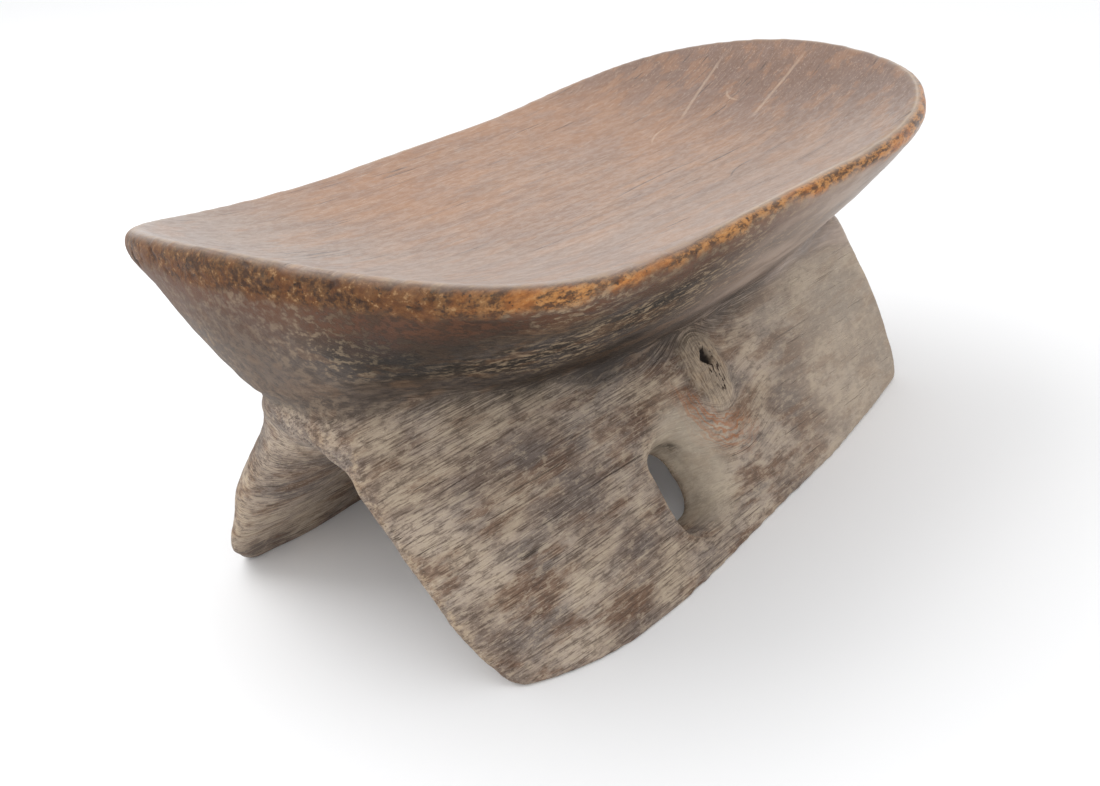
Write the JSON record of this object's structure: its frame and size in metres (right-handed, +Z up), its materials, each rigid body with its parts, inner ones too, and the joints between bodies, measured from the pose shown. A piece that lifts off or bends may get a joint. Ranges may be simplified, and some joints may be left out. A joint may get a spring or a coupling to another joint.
{
  "type": "headrest",
  "caption": "Carved wooden headrest: dished oval seat on a boat-shaped hull, narrow waist and splayed slab legs, with a window through the front leg.",
  "frame": {"origin": "centre of the footprint on the plane the soles stand on", "axes": "+X along the seat, -Y towards the front leg with the window, +Z up"},
  "size_m": [0.4078, 0.2276, 0.1775],
  "materials": {
    "polished_seat": "satin",
    "hull_wood": "satin",
    "leg_wood": "matte",
    "knot_wood": "matte"
  },
  "bodies": {
    "root": {"seat_plate": "polished_seat", "seat_hull": "hull_wood", "waist": "leg_wood", "front_leg": "leg_wood", "back_leg": "leg_wood", "branch_knot": "knot_wood"}
  },
  "joints": []
}
